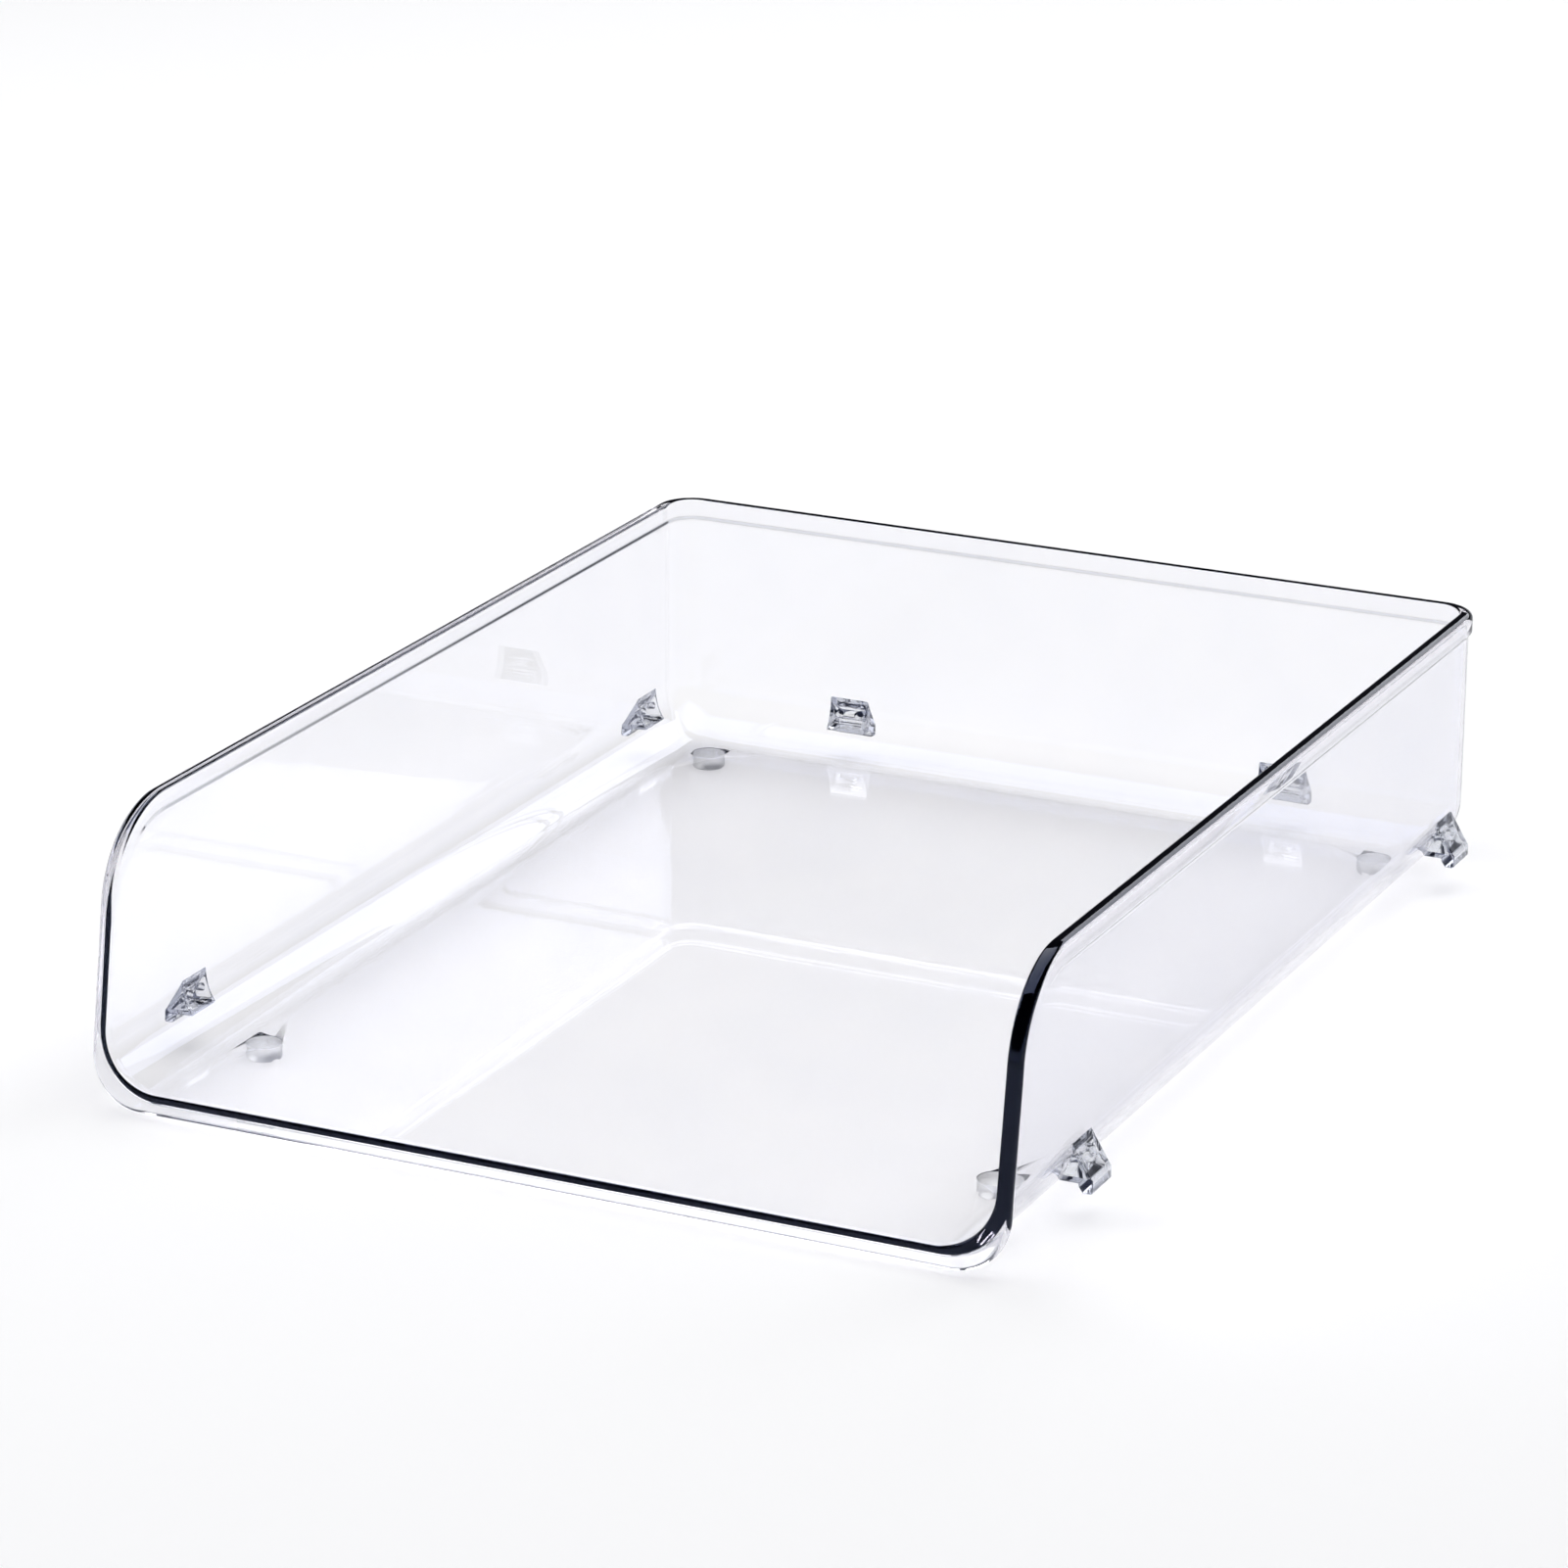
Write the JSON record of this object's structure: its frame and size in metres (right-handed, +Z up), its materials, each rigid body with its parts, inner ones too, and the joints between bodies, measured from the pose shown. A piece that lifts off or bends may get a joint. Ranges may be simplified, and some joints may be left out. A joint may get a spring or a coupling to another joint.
{
  "type": "letter tray",
  "caption": "Clear open-fronted desk tray for letter or A4 paper, with a low front lip, sloped front edges, round-bent floor, outside stacking clips and foot pads.",
  "frame": {"origin": "bottom centre of the whole object's box: on the desk, midway between the left and right clips and midway between the front lip and the back clips", "axes": "+Z up, the open front with the lip faces -Y, the closed back faces +Y, +X to the right seen from the front"},
  "size_m": [0.2592, 0.3356, 0.0755],
  "materials": {
    "shell_clear_plastic": "clear glossy moulded polystyrene or acrylic",
    "clip_clear_plastic": "clear glossy moulded plastic",
    "pad_clear_silicone": "clear soft satin silicone"
  },
  "bodies": {
    "root": {"tray_shell": "shell_clear_plastic", "clip_left_front": "clip_clear_plastic", "clip_left_rear": "clip_clear_plastic", "clip_right_front": "clip_clear_plastic", "clip_right_rear": "clip_clear_plastic", "clip_back_left": "clip_clear_plastic", "clip_back_right": "clip_clear_plastic", "foot_pad_left_front": "pad_clear_silicone", "foot_pad_left_rear": "pad_clear_silicone", "foot_pad_right_front": "pad_clear_silicone", "foot_pad_right_rear": "pad_clear_silicone"}
  },
  "joints": []
}
